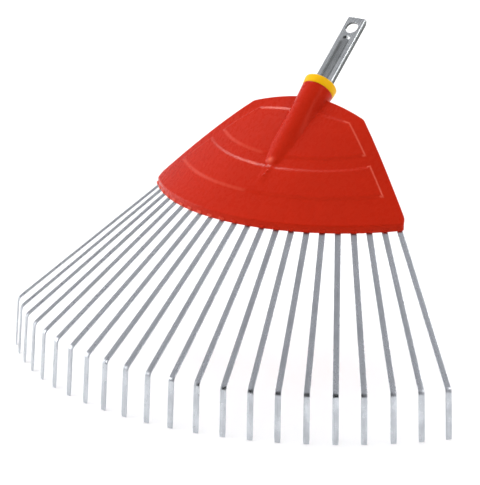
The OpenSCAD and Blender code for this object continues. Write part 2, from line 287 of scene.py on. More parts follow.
def revolved(profile, place, steps=96):
    """A closed solid of revolution: profile lists (along, radius), with radius 0 at both ends."""
    points = [place(0, profile[0][0], 0)]
    for s, r in profile[1:-1]:
        for k in range(steps):
            a = 360 * k / steps
            points.append(place(r * sin(a), s, r * cos(a)))
    points.append(place(0, profile[-1][0], 0))
    rows, last, faces = len(profile) - 2, len(points) - 1, []
    for k in range(steps):
        k2 = (k + 1) % steps
        faces.append((0, 1 + k, 1 + k2))
        faces.append((last, 1 + (rows - 1) * steps + k2, 1 + (rows - 1) * steps + k))
        for row in range(rows - 1):
            a = 1 + row * steps
            faces.append((a + k, a + steps + k, a + steps + k2, a + k2))
    return np.array(points), faces


def lattice(x0, x1, y0, y1, gap):
    """Points in a triangular pattern."""
    rows = []
    for k, y in enumerate(np.arange(y0, y1, gap * 0.866)):
        x = np.arange(x0 + (k % 2) * gap / 2, x1, gap)
        rows.append(np.stack([x, np.full(len(x), y)], 1))
    return np.concatenate(rows)


def ease(t):
    """A smooth step from 0 to 1."""
    t = np.clip(t, 0, 1)
    return t * t * (3 - 2 * t)


def spaced(points, gap):
    """A line with points no more than a gap apart."""
    out = [points[0]]
    for a, b in zip(points, points[1:]):
        n = max(1, math.ceil(math.dist(a, b) / gap))
        out += [(a[0] + (b[0] - a[0]) * k / n, a[1] + (b[1] - a[1]) * k / n) for k in range(1, n + 1)]
    return out


def arc(r, a0, a1, gap):
    """Points on an arc about the fan's axis, with angles from straight ahead."""
    n = max(2, math.ceil(math.radians(abs(a1 - a0)) * r / gap))
    return [(r * sin(a), -r * cos(a)) for a in np.linspace(a0, a1, n + 1)]


# ---------------------------------------------------------------- the shroud's outline and face, in plan
def unit(v):
    return np.asarray(v, float) / np.linalg.norm(v)


def meet(p, u, q, v):
    """Where the line through p along u meets the line through q along v."""
    w = np.array([-v[1], v[0]])
    return p + u * (np.dot(q - p, w) / np.dot(u, w))


def fillet(before, p, after, r, steps):
    """Points on an arc that rounds the corner at p."""
    a, b = unit(before - p), unit(after - p)
    half = math.acos(float(np.dot(a, b))) / 2
    c = p + unit(a + b) * r / math.sin(half)
    start = p + a * r / math.tan(half) - c
    a0 = math.atan2(start[1], start[0])
    turn = (math.pi - 2 * half) * math.copysign(1, a[0] * b[1] - a[1] * b[0])
    angles = [a0 - turn * k / steps for k in range(steps + 1)]
    return [tuple(c + r * np.array([math.cos(t), math.sin(t)])) for t in angles]


SIDE_DIR = unit(np.subtract(LOWER_CORNER, UPPER_CORNER))
TOP_DIR = unit(np.subtract(UPPER_CORNER, TOP_MID))


def side_line(inset):
    """A point on the right side line, moved in."""
    return np.array(UPPER_CORNER) + np.array([SIDE_DIR[1], -SIDE_DIR[0]]) * inset


def side_at_radius(inset, r):
    """Where the right side line, moved in, meets a circle about the fan's axis."""
    p = side_line(inset)
    along = np.dot(p, SIDE_DIR)
    return p + SIDE_DIR * (-along + math.sqrt(along ** 2 - np.dot(p, p) + r * r))


def mirrored(half):
    """The other half of a line that runs from the middle plane, in the order that carries it on."""
    return [(-x, y) for x, y in half[::-1]]


def angle_of(p):
    """A plan point's angle from straight ahead."""
    return math.degrees(math.atan2(p[0], -p[1]))


def outline(inset, gap=2.0):
    """The shroud's outline in plan, moved in. It runs from the top middle round by the right side."""
    side_p, top_p = side_line(inset), np.array(TOP_MID) + np.array([TOP_DIR[1], -TOP_DIR[0]]) * inset
    mid = meet(top_p, TOP_DIR, np.zeros(2), np.array([0.0, 1.0]))
    upper = meet(side_p, SIDE_DIR, top_p, TOP_DIR)
    r = EDGE_R - inset
    lower = side_at_radius(inset, r)
    tangent = unit(np.array([lower[1], -lower[0]]))
    corner = fillet(upper, lower, lower + tangent * 20, 5.0, 6)
    a_end = angle_of(corner[-1])
    half = [tuple(mid)] + fillet(mid, upper, lower, 8.0, 8) + corner[:-1]
    half = spaced(half, gap)
    half += arc(r, a_end, 0, gap)
    return half + mirrored(half)[1:-1]


def panel_loop(k, d, gap=2.0):
    """One of the two raised panels, moved in by d."""
    inset = PANEL_BORDER + d
    if k == 0:
        r, p = PANEL_ARCS[0] - d, side_line(inset)
        upper = p + SIDE_DIR * ((PANEL_BACK - d - p[1]) / SIDE_DIR[1])
        lower = side_at_radius(inset, r)
        half = spaced([(0.0, PANEL_BACK - d), tuple(upper), tuple(lower)], gap)
        half += arc(r, angle_of(lower), 0, gap)[1:]
    else:
        r0, r1 = PANEL_ARCS[1] + d, PANEL_ARCS[2] - d
        upper, lower = side_at_radius(inset, r0), side_at_radius(inset, r1)
        half = arc(r0, 0, angle_of(upper), gap) + spaced([tuple(upper), tuple(lower)], gap)[1:]
        half += arc(r1, angle_of(lower), 0, gap)[1:]
    return half + mirrored(half)[1:-1]


def soft_min(a, b, k):
    """The lower of two heights, with a smooth turn where they are less than k apart."""
    h = np.clip(k - np.abs(a - b), 0, None) / k
    return np.minimum(a, b) - h * h * k / 4


def soft_max(a, b, k):
    return -soft_min(-a, -b, k)


TOP_LEAN = (TOP_MID[1] - UPPER_CORNER[1]) / UPPER_CORNER[0]
SOFT_MID, TOP_DROP, BULGE, BULGE_END = 0.06, 8.6, 3.0, 57.0
EDGE_Z = tine_z(EDGE_R) + COVER_LIFT / cos(SLOPE)


def face_z(x, y):
    """Height of the plain face: ruled from the top edge to the lower edge, with a slight bulge."""
    r, a = np.hypot(x, y), np.clip(np.arctan2(x, -y), -1.1, 1.1)
    side = np.sqrt(np.sin(a) ** 2 + SOFT_MID ** 2)
    top_r = -TOP_MID[1] / (np.cos(a) - TOP_LEAN * side)
    top_z = TOP_H - TOP_DROP * (top_r * np.sin(a) / UPPER_CORNER[0]) ** 2
    v = (r - top_r) / (EDGE_R - top_r)
    bulge = BULGE * (1 - (a / math.radians(BULGE_END)) ** 2)
    return (1 - v) * top_z + v * EDGE_Z + bulge * 4 * v * (1 - v)


def face_n(x, s):
    """Height of the plain face above the tang line, and the y it is at."""
    n = np.zeros_like(x)
    for _ in range(9):
        y = MOUTH[0] + s * cos(PITCH) - n * sin(PITCH)
        n = n + (face_z(x, y) - (MOUTH[1] + s * sin(PITCH) + n * cos(PITCH))) / 1.2
    return n, MOUTH[0] + s * cos(PITCH) - n * sin(PITCH)


def to_tang(points):
    """Plan points on the face, as (across, along the tang line)."""
    x, y = np.asarray(points, float).T
    return np.stack([x, (y - MOUTH[0]) * cos(PITCH) + (face_z(x, y) - MOUTH[1]) * sin(PITCH)], 1)


# ---------------------------------------------------------------- the shroud
CHAMFER, SIDE_STEEPER, SIDE_ROUND, LIP_ROUND, DRAFT = 3.2, 1.2, 0.6, 1.2, 0.25
FILLET, TIP_FILLET, TIP_FILLET_L = 5.0, 1.4, 22.0
END_FALL_AT, END_FALL = 0.3, 2.75
TUBE_GAP = 0.25
OUTLINE = outline(0)
PANELS = [panel_loop(k, 0) for k in (0, 1)]


def socket_r(s):
    """Radius of the socket along its axis, falling away past its blind end."""
    along = np.clip((s - SOCKET_END_S - END_ROUND) / (-COLLAR_L - SOCKET_END_S - END_ROUND), 0, 1)
    taper = SOCKET_END_R + (SOCKET_R - SOCKET_END_R) * along
    u = s - SOCKET_END_S
    inside = np.clip(u, END_FALL_AT, END_ROUND)
    end = SOCKET_END_R - END_ROUND + np.sqrt(END_ROUND ** 2 - (END_ROUND - inside) ** 2)
    end = end + END_FALL * np.minimum(u - END_FALL_AT, 0)
    return np.where(u < END_ROUND, np.minimum(end, taper), taper)


def socket_n(x, s, shrink=0.0):
    """Height of the socket over the tang line, with its sides carried on downwards."""
    least, turn = 0.5, 80
    r = socket_r(s) - shrink
    falls = np.minimum(r - least, 0) * 2
    r, x = np.maximum(r, least), np.abs(x)
    round_n = np.sqrt(np.clip(r * r - x * x, 0, None))
    straight_n = r * cos(turn) - (x - r * sin(turn)) * tan(turn)
    return np.where(x < r * sin(turn), round_n, straight_n) + falls


# In plan: two pips on the low spine below the socket's tip, the spine itself, and the sink marks
PIPS, PIP_H, PIP_R = ((1.5, -113.4), (0.3, -117.4)), 0.7, 1.0
SPINE_H, SPINE_FLAT, SPINE_SIDE, SPINE_FROM, SPINE_TO = 0.6, 1.0, 4.5, -92.0, -128.0
SINK_D, SINK_W, SINK_FROM_R = 0.07, 1.6, 131.0


def side_depth(plan):
    """Distance in from the nearer side line."""
    off = np.stack([np.abs(plan[:, 0]), plan[:, 1]], 1) - UPPER_CORNER
    return off @ np.array([SIDE_DIR[1], -SIDE_DIR[0]])


def panel_rise(plan, loop):
    """How far up a panel's chamfer each plan point is, from 0 to 1. The side chamfers are steeper."""
    depth = depth_in(plan, loop)
    side = side_depth(plan) - PANEL_BORDER
    width = CHAMFER - SIDE_STEEPER * ease(1 - (side - depth) / 3)
    return np.clip(depth / width, 0, 1)


# How strong the painted highlight is along each edge of the panels: the right side and the left
# half of the back edge the most, the rest of the right half hardly, and the lower panel's upper
# edge only near the socket's tip.
HIGHLIGHT_SIDES, HIGHLIGHT_RIGHT, HIGHLIGHT_BACK, HIGHLIGHT_ARCS, HIGHLIGHT_TIP = (0.2, 1.4), 0.05, 1.3, 0.5, 2.0
HIGHLIGHT_MID, HIGHLIGHT_MID_LEAST, HIGHLIGHT_MID_AT, HIGHLIGHT_MID_W = 1.2, 0.1, -8.0, 6.0
HIGHLIGHT_FULL = 0.5


def shroud_painted_highlight(co, low_side):
    """Painted highlight on the surface: along the panels' edges, on the pips and on the socket's tip."""
    if low_side:
        return np.zeros(len(co))
    x, s = co[:, 0], co[:, 1]
    plan = np.stack([x, face_n(x, s)[1]], 1)
    a, r = np.degrees(np.arctan2(plan[:, 0], -plan[:, 1])), np.hypot(plan[:, 0], plan[:, 1])
    side = side_depth(plan) - PANEL_BORDER < CHAMFER + 0.4
    back = plan[:, 1] > PANEL_BACK - CHAMFER - 0.4
    right = plan[:, 0] > 0
    near_tip = HIGHLIGHT_MID_LEAST + HIGHLIGHT_MID * np.exp(-((a - HIGHLIGHT_MID_AT) / HIGHLIGHT_MID_W) ** 2)
    arcs = np.where(np.abs(r - PANEL_ARCS[1]) < 2 * CHAMFER, near_tip, HIGHLIGHT_ARCS)
    highlight_level = np.where(right, HIGHLIGHT_RIGHT, np.where(back, HIGHLIGHT_BACK, arcs))
    highlight_level = np.where(side, np.where(right, HIGHLIGHT_SIDES[1], HIGHLIGHT_SIDES[0]), highlight_level)
    wear_and_highlight = np.zeros(len(co))
    for loop in PANELS:
        wear_and_highlight = np.maximum(wear_and_highlight, highlight_level * np.sin(np.pi * panel_rise(plan, loop)) * (depth_in(plan, loop) > 0))
    for px, py in PIPS:
        wear_and_highlight = np.maximum(wear_and_highlight, HIGHLIGHT_TIP * np.exp(-((plan[:, 0] - px) ** 2 + (plan[:, 1] - py) ** 2) / 3))
    tip = HIGHLIGHT_TIP * np.exp(-((x + 1.5) ** 2 / 6 + (s - SOCKET_END_S - 3.5) ** 2 / 5))
    clear_of_socket = ease((np.abs(x) - SOCKET_R + 2) / 4 + (s < -100))
    return HIGHLIGHT_FULL * np.maximum(wear_and_highlight * clear_of_socket, tip)


def shroud_top(co):
    """Height of the cover's outer face above the tang line, with its panels, pips and socket."""
    x, s = co[:, 0], co[:, 1]
    n, y = face_n(x, s)
    plan = np.stack([x, y], 1)
    # The chamfers use the steep middle of the curve, so they have an edge at both ends
    foot, brow = ease(0.1), ease(0.9)
    for loop in PANELS:
        n = n + PANEL_H * (ease(panel_rise(plan, loop) * 0.8 + 0.1) - foot) / (brow - foot)
    across = 1 - ease((np.abs(x) - SPINE_FLAT) / SPINE_SIDE)
    n = n + SPINE_H * across * ease((y - SPINE_TO) / 10) * ease((SPINE_FROM - y) / 6)
    for px, py in PIPS:
        n = n + PIP_H * np.exp(-((x - px) ** 2 + (y - py) ** 2) / PIP_R ** 2)
    # Sink marks over the clamp's partitions
    r, a = np.hypot(x, y), np.degrees(np.arctan2(x, -y))
    off = (a / STEP - np.round(a / STEP)) * np.radians(STEP) * r
    n = n - SINK_D * np.exp(-(off / SINK_W) ** 2) * ease((r - SINK_FROM_R) / 3)
    # The socket grows out of the face, more sharply at its tip
    tube = socket_n(x, s, TUBE_GAP * ease((s + 22) / 4))
    n = soft_max(n, tube, TIP_FILLET + (FILLET - TIP_FILLET) * ease((s - SOCKET_END_S - 4) / TIP_FILLET_L))
    e = SIDE_ROUND + (LIP_ROUND - SIDE_ROUND) * ease((r - EDGE_R + 6) / 4)
    d = np.clip(e - depth_in(plan, OUTLINE), 0, e * 0.97)
    return n - (e - np.sqrt(e ** 2 - d ** 2))


def shroud_depth(x, y):
    """Depth of the shroud's underside below its face: wall, rim, ribs and lip."""
    plan = np.stack([x, y], 1)
    r, a = np.hypot(x, y), np.degrees(np.arctan2(x, -y))
    inset = depth_in(plan, OUTLINE)
    ramp = lambda inside: np.clip(inside / DRAFT, 0, 1)
    inner = ramp(CLAMP_IN_R - r)
    rise = ramp(RIM_T + DRAFT - inset) * inner
    rise = np.maximum(rise, ramp(r - (CLAMP_IN_R - RIB_T - DRAFT)) * inner)
    for rib in RIB_ANGLES:
        off = np.abs(a - rib) * np.radians(1) * r
        rise = np.maximum(rise, ramp(RIB_T / 2 + DRAFT - off) * inner * ramp(r - RIB_IN_R))
    depth = WALL + (RIM_D - WALL) * rise
    depth = np.maximum(depth, WALL + (LIP_D - WALL) * ramp(r - (EDGE_R - LIP_T - DRAFT)))
    return depth


def shroud_low(co):
    return shroud_depth(co[:, 0], face_n(co[:, 0], co[:, 1])[1]) / cos(SLOPE)


def under_face(x, s, depth):
    """Points straight below the plain face."""
    points = on_tang(x, s, face_n(x, s)[0])
    points[..., 2] -= depth
    return points


def outside_socket(line):
    """Cuts a line where the socket covers it."""
    parts, part = [], []
    for p in line:
        if abs(p[0]) < 15 and p[1] > -112:
            if len(part) > 1:
                parts.append(part)
            part = []
        else:
            part.append(p)
    return parts + ([part] if len(part) > 1 else [])


def shroud_mesh():
    top_lines, low_lines = [], []
    for k in (0, 1):
        for d in (0, CHAMFER / 3, 2 * CHAMFER / 3, CHAMFER):
            loop = panel_loop(k, d, 1.6)
            top_lines += outside_socket(loop + loop[:1])
    for d in (0.1, 0.3, SIDE_ROUND, LIP_ROUND):
        loop = outline(d, 1.6)
        top_lines.append(loop + loop[:1])
    for d in (RIM_T, RIM_T + DRAFT):
        loop = [p for p in outline(d) if math.hypot(*p) < CLAMP_IN_R]
        k = next(i for i in range(len(loop) - 1) if math.dist(loop[i], loop[i + 1]) > 60)
        low_lines.append(loop[k + 1:] + loop[:k + 1])
    for r in (CLAMP_IN_R, CLAMP_IN_R - DRAFT, CLAMP_IN_R - RIB_T, CLAMP_IN_R - RIB_T - DRAFT):
        end = angle_of(side_at_radius(0.15, r))
        low_lines.append(arc(r, -end, end, 2))
    for rib in RIB_ANGLES:
        for off in (-RIB_T / 2 - DRAFT, -RIB_T / 2, RIB_T / 2, RIB_T / 2 + DRAFT):
            line = []
            for r in np.linspace(RIB_IN_R, CLAMP_IN_R - RIB_T, 30):
                a = rib + math.degrees(off / r)
                line.append((r * sin(a), -r * cos(a)))
            low_lines.append(line)
        low_lines.append(arc(RIB_IN_R, rib - 1.2, rib + 1.2, 0.5))
        low_lines.append(arc(RIB_IN_R + DRAFT, rib - 1.2, rib + 1.2, 0.5))
    for inset in (LIP_T, LIP_T + DRAFT):
        end = angle_of(side_at_radius(0.4, EDGE_R - inset))
        low_lines.append(arc(EDGE_R - inset, -end, end, 2))
    to_lines = lambda lines: [to_tang(line) for line in lines]
    # Columns of points along the socket: round it, then over its fillet
    columns = [SOCKET_R * sin(a) for a in (0, 8, 16, 24, 32, 40, 47, 54, 60, 66, 71, 76, 81, 86)]
    columns += [13.7, 14.0, 14.4, 14.9, 15.5, 16.2, 17.0, 17.9, 19.0, 20.2]
    columns = sorted({-c for c in columns} | set(columns))
    rows = np.arange(-112, -10, 0.9)
    near = np.array([(c, s) for s in rows for c in columns])
    tip = lattice(-9, 9, -116, -86, 0.6)
    far = lattice(-130, 130, -145, -8, 1.9)
    far = far[(np.abs(far[:, 0]) > 21.3) | (far[:, 1] < -113)]
    near = near[(np.abs(near[:, 0]) > 9.2) | (near[:, 1] > -86)]
    dots = np.concatenate([near, far, tip])
    rim_dots = lattice(-130, 130, -145, -8, 3.2)
    return shell(
        "shroud_cover", [to_tang(OUTLINE)], shroud_top, shroud_low, on_tang,
        to_lines(top_lines), to_lines(low_lines), dots, rim_dots,
        gap=0.42, sharp=35, place_low=under_face, tint=shroud_painted_highlight,
    )


def socket_mesh():
    """The socket as a whole tube, just inside the cover's own surface where the cover shows."""
    sunk, edge = 0.3, 0.4
    r = lambda s: float(socket_r(np.array([s]))[0]) - sunk * float(ease((-20 - s) / 4))
    body = [(s, r(s)) for s in np.linspace(-COLLAR_L - edge, SOCKET_END_S + END_ROUND, 50)]
    end_c = (SOCKET_END_S + END_ROUND, SOCKET_END_R - END_ROUND - sunk)
    end = [(end_c[0] - END_ROUND * sin(a), end_c[1] + END_ROUND * cos(a)) for a in np.linspace(8, 90, 9)]
    top = -COLLAR_L + SPIGOT_L
    profile = [(top, 0), (top, SPIGOT_R - edge), (top - edge, SPIGOT_R)]
    profile += [(-COLLAR_L, SPIGOT_R), (-COLLAR_L, SOCKET_R - edge)] + body + end + [(SOCKET_END_S, 0)]
    points, faces = revolved(profile, on_tang)
    return points, [f[::-1] for f in faces]


def boss_mesh(angle):
    """A screw boss under the face, with a draft and a rounded end."""
    at = np.array([SCREW_R * sin(angle), -SCREW_R * cos(angle)])
    top = (float(face_z(*at)) - tine_z(SCREW_R)) * cos(SLOPE) - WALL / 2
    low, r = -3.0, 4.0
    rows = [(top, 0), (top, r + 0.3), (low + 0.5, r), (low + 0.15, r - 0.15), (low, r - 0.5), (low, 0)]

    def place(x, n, y):
        radial = SCREW_R - y * cos(SLOPE) + n * sin(SLOPE)
        z = tine_z(SCREW_R) + y * sin(SLOPE) + n * cos(SLOPE)
        return np.array([x * cos(angle) + radial * sin(angle), x * sin(angle) - radial * cos(angle), z])

    return revolved(rows, place, 40)


def rounded_box(half_w, half_h, r):
    """Points round a box with round corners, centred on 0, as (across, up)."""
    points = []
    corners = ((1, 1, 0), (-1, 1, 90), (-1, -1, 180), (1, -1, 270))
    for sign_x, sign_y, start in corners:
        cx, cy = sign_x * (half_w - r), sign_y * (half_h - r)
        points += [(cx + r * cos(a), cy + r * sin(a)) for a in np.linspace(start, start + 90, 5)]
    return points


def lug_mesh(angle):
    """A low rounded hood at the foot of the lip's front, over one tine."""
    wide, high, out, narrowed = 2.9, 1.3, 0.75, 0.65
    across, up = np.array([cos(angle), sin(angle), 0.0]), np.array([0.0, 0.0, 1.0])
    front = np.array([sin(angle), -cos(angle), 0.0])
    middle = front * EDGE_R + up * (EDGE_Z - LIP_D / cos(SLOPE) + high)
    rows = ((-0.6, 0.0), (0.05, 0.0), (out - 0.15, narrowed - 0.05), (out, narrowed + 0.15))
    points, faces, n = [], [], 20
    for depth, inset in rows:
        section = rounded_box(wide - inset, high - inset * 0.9, 1.0 - inset)
        points += [middle + across * x + up * y + front * depth for x, y in section]
    for k in range(len(rows) - 1):
        for i in range(n):
            j = (i + 1) % n
            faces.append((k * n + i, k * n + j, (k + 1) * n + j, (k + 1) * n + i))
    faces += [tuple(range(n))[::-1], tuple(range((len(rows) - 1) * n, len(rows) * n))]
    return np.array(points), faces


def add_to(piece, points, faces, sharp=35, wear_and_highlight=0.0):
    """Joins another closed shape to a piece, with a painted highlight of the given strength on it."""
    extra = new_piece("extra", points, faces, sharp=sharp)
    shade = extra.data.attributes.new("shade", "FLOAT", "POINT")
    shade.data.foreach_set("value", np.full(len(extra.data.vertices), wear_and_highlight))
    with bpy.context.temp_override(active_object=piece, selected_editable_objects=[piece, extra]):
        bpy.ops.object.join()


def make_shroud(material):
    """The cover with its socket, screw bosses and hoods, as one piece."""
    cover = shroud_mesh()
    add_to(cover, *socket_mesh(), sharp=50)
    for k in range(SCREWS):
        add_to(cover, *boss_mesh((k - (SCREWS - 1) / 2) * SCREW_STEP))
    # The hoods get a painted highlight on the left half only
    for body in TINES:
        add_to(cover, *lug_mesh(tine_angle(body)), wear_and_highlight=0.6 * float(ease(-tine_angle(body) / 16)))
    cover.data.materials.append(material)
    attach(cover, "head")
    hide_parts("shroud")


# ---------------------------------------------------------------- collar
def edge_drop(inside, r, most):
    """How far a round edge falls, at a distance inside the edge. It stops just short of upright."""
    out = np.clip(r - inside, 0, most)
    return r - np.sqrt(r ** 2 - out ** 2)


def make_collar(material):
    """The ring on the socket's mouth, with round edges and a slot that fits the tang."""
    steps, clear, outer_round, slot_round, low_round = 96, 0.25, 1.2, 0.6, 0.5
    ring = [(COLLAR_R * sin(360 * k / steps), COLLAR_R * cos(360 * k / steps)) for k in range(steps)]
    half_w, half_d, mid_n = TANG_W / 2 + clear, TANG_D / 2 + clear, TANG_N - TANG_D / 2
    corners = [(half_w, mid_n - half_d), (half_w, mid_n + half_d)]
    corners += [(-half_w, mid_n + half_d), (-half_w, mid_n - half_d)]
    slot_loop = []
    for k, c in enumerate(corners):
        before, after = np.array(corners[k - 1]), np.array(corners[(k + 1) % 4])
        slot_loop += fillet(before, np.array(c), after, 1.0, 4)
    slot_loop = spaced(slot_loop + slot_loop[:1], 1.5)[:-1]

    def top(co):
        edge = COLLAR_R - np.hypot(co[:, 0], co[:, 1])
        return -edge_drop(edge, outer_round, 1.17) - edge_drop(-depth_in(co, slot_loop), slot_round, 0.58)

    def low(co):
        return -COLLAR_L + edge_drop(COLLAR_R - np.hypot(co[:, 0], co[:, 1]), low_round, 0.48)

    def place(x, y, h):
        r = np.hypot(x, y)
        pull = 1 - (COLLAR_TAPER / COLLAR_R) * np.clip(-h / COLLAR_L, 0, 1) * np.clip((r - 9) / 3, 0, 1)
        return on_tang(-x * pull, h, y * pull)

    rings = [[(p[0] * f, p[1] * f) for p in ring + ring[:1]] for f in (0.995, 0.98, 0.955, 0.91)]
    dots = lattice(-15, 15, -15, 15, 1)
    piece = shell("collar_ring", [ring, slot_loop], top, low, place, rings, rings[:2], dots, gap=0.25)
    piece.data.materials.append(material)
    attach(piece, "head")
    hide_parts("collar")


# ---------------------------------------------------------------- tang
BEND_R, END_R, RIM_R = 1.7, 0.5, 0.45
BEAD_W, BEAD_D, BEAD_FROM, BEAD_FLAT = 9.4, 1.5, -19.0, 1.5
BEAD_END = LATCH_S - LATCH_R - 2.6 - BEAD_W / 2


def bead_depth(x, s):
    """Pressed groove with a round end towards the latch hole."""
    beyond = np.clip(s - BEAD_END, 0, None)
    off = np.hypot(x, beyond)
    return BEAD_D * (1 - ease((off - BEAD_FLAT) / (BEAD_W / 2 - BEAD_FLAT))) * ease((s - BEAD_FROM) / 6)


def tang_top(co):
    """Height of the tang's face, with its bends, end, latch hole's rim and groove."""
    x, s = np.abs(co[:, 0]), co[:, 1]
    n = TANG_N - edge_drop(TANG_W / 2 - x, BEND_R, BEND_R * 0.985) - edge_drop(TANG_OUT - s, END_R, 0.48)
    return n - edge_drop(np.hypot(x, s - LATCH_S) - LATCH_R, RIM_R, 0.43) - bead_depth(x, s)


def tang_low(co):
    """Height of the tang's inside: its web, then down its flanges, which are cut back at the end."""
    x, s = np.abs(co[:, 0]), co[:, 1]
    flange = np.clip((x - (TANG_W / 2 - TANG_T)) / 0.3, 0, 1)
    cut = np.clip(s - (TANG_OUT - TANG_D + TANG_T), 0, TANG_D - TANG_T)
    bead = bead_depth(x, s)
    return TANG_N - TANG_T - bead + (TANG_T - TANG_D + cut + bead) * flange


def tang_shade(co, low_side):
    """How dark the painted shade is: in the groove, in the latch hole, on the flanges and all over the
    underside.
    """
    if low_side:
        return np.ones(len(co))
    x, s = np.abs(co[:, 0]), co[:, 1]
    groove = np.clip(bead_depth(x, s) / BEAD_D, 0, 1) ** 0.6
    near_wall = np.exp(-((co[:, 0] + BEAD_W / 2 - BEAD_FLAT) / 0.9) ** 2)
    wall = near_wall * ease((BEAD_END - s) / 3) * (groove > 0.01)
    flange = 0.75 * (x > TANG_W / 2 - 0.05)
    hole_wall = np.hypot(x, s - LATCH_S) < LATCH_R + 0.03
    return np.maximum(np.maximum(0.38 * groove + 0.5 * wall, flange), hole_wall)


def hole_ring(r):
    """Points on a circle about the latch hole."""
    return [(r * sin(a), LATCH_S + r * cos(a)) for a in np.arange(0, 360, 7.5)]


def along_tang(x, short_of_end):
    """Points on a line along the tang."""
    return [(x, s) for s in np.arange(TANG_IN + 1, TANG_OUT - short_of_end, 2.0)]


def make_tang(material):
    """The folded channel, with a pressed groove and a latch hole."""
    half, corner_r, apart = TANG_W / 2, 0.9, 2.5
    middle, corner = np.array([0.0, TANG_OUT]), np.array([half, TANG_OUT])
    end = fillet(np.array([half, 0.0]), corner, middle, corner_r, 4)
    right = spaced([(half, TANG_IN)] + end + [tuple(middle)], apart)
    strip = right + mirrored(right)[1:] + spaced([(-half, TANG_IN), (half, TANG_IN)], apart)[1:-1]
    lines = [along_tang(half - d, 0.6) for d in (0.15, 0.5, 1.0, BEND_R)]
    lines += [[(-x, s) for x, s in line] for line in lines]
    lines += [ring + ring[:1] for ring in (hole_ring(LATCH_R + d) for d in (0.06, 0.2, RIM_R))]
    lines += [[(x, TANG_OUT - d) for x in np.arange(-half + 1.1, half - 1, 1.0)] for d in (0.06, 0.25, END_R)]
    low_lines = [along_tang(sign * (half - TANG_T + d), 0.1) for d in (0, 0.3) for sign in (-1, 1)]
    groove = [(x, s) for s in np.arange(TANG_IN, BEAD_END - 4, 1.2) for x in np.arange(-5.5, 5.6, 0.6)]
    dots = np.concatenate([
        lattice(-5.6, 5.6, BEAD_END - 4, BEAD_END + 6, 0.45),
        np.array(groove),
        lattice(-half, half, BEAD_END + 6, TANG_OUT, 1.0),
    ])
    piece = shell(
        "tang_strip", [strip, hole_ring(LATCH_R)], tang_top, tang_low, on_tang,
        lines, low_lines, dots, dots, gap=0.28, sharp=38, tint=tang_shade,
    )
    piece.data.materials.append(material)
    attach(piece, "head")
    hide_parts("tang")


# ---------------------------------------------------------------- tines
def tine_path():
    """(radius, height, slope below level) along a tine's middle line, from root toe to tip."""
    path, r0 = [], 1.2
    root = np.array([ROOT_R, tine_z(ROOT_R)])
    down, lift = np.array([cos(SLOPE), -sin(SLOPE)]), np.array([sin(SLOPE), cos(SLOPE)])
    path += [(*(root - lift * d), SLOPE + 90) for d in (TOE_L + TINE_T / 2, TOE_L * 0.6, r0)]
    centre = root - lift * r0 + down * r0
    for t in np.linspace(0, 90, 7)[1:]:
        path.append((*(centre - down * r0 * cos(t) + lift * r0 * sin(t)), SLOPE + 90 - t))
    turn = 90 - HOOK_LEAN
    bend_from = np.array([CORNER_R, HOOK_H]) - down * HOOK_R * tan((turn - SLOPE) / 2)
    bend_c = bend_from - lift * HOOK_R
    start = centre + lift * r0
    length = np.linalg.norm(bend_from - start)
    path += [(*(start + down * length * t), SLOPE) for t in np.linspace(0, 1, 60)[1:]]
    for a in np.linspace(SLOPE, turn, 13)[1:]:
        path.append((*(bend_c + HOOK_R * np.array([sin(a), cos(a)])), a))
    last = np.array(path[-1][:2])
    for t in np.linspace(0, 1, 12)[1:]:
        h = last[1] * (1 - t)
        path.append((last[0] + (last[1] - h) * tan(HOOK_LEAN), h, turn))
    return path


def tine_section():
    """A flat strip's section with worn round edges, as (across, up)."""
    edge_r, crown = 0.4, 0.04
    section = rounded_box(TINE_W / 2, TINE_T / 2, edge_r)
    return [(x, y + math.copysign(crown, y) * (1 - (2 * x / TINE_W) ** 2)) for x, y in section]


def make_tine(body, path, section, material, rng):
    """One spring tine, with a slight twist and sway of its own that grow towards its tip."""
    a = tine_angle(body)
    roll, sway = rng.gauss(0, 1.2), rng.gauss(0, 0.25)
    length = np.concatenate([[0], np.cumsum([math.dist(p[:2], q[:2]) for p, q in zip(path, path[1:])])])
    points, flow = [], []
    n = len(section)
    free = length[-1] - 10
    for k, (r, z, tilt) in enumerate(path):
        up = np.array([sin(tilt), cos(tilt)])
        go = ease((length[k] - 12) / free)
        twist = roll * go
        shrink = 0.9 if k in (0, len(path) - 1) else 1.0
        for x, h in section:
            x, h = x * shrink, h * (0.75 if shrink < 1 else 1.0)
            x, h = x * cos(twist) - h * sin(twist) + sway * go, x * sin(twist) + h * cos(twist)
            rr, zz = r + up[0] * h, max(z + up[1] * h, 0)
            points.append((x * cos(a) + rr * sin(a), x * sin(a) - rr * cos(a), zz))
            flow.append((x, length[k], a))
    faces = [tuple(range(n))[::-1], tuple(range((len(path) - 1) * n, len(path) * n))]
    for k in range(len(path) - 1):
        for i in range(n):
            j = (i + 1) % n
            faces.append((k * n + i, k * n + j, (k + 1) * n + j, (k + 1) * n + i))
    piece = new_piece(body + "_spring", np.array(points), faces, sharp=60)
    data = piece.data.attributes.new("flow", "FLOAT_VECTOR", "POINT")
    data.data.foreach_set("vector", (np.array(flow) * [MM, MM, 1.0]).ravel())
    piece.data.materials.append(material)
    bend_at = lambda r: tuple(to_row((r * sin(a), -r * cos(a), tine_z(r))))
    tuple(bend_at(ROCK_R - 3))
    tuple(bend_at(ROCK_R + 45))
    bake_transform(piece)
    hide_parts(body)


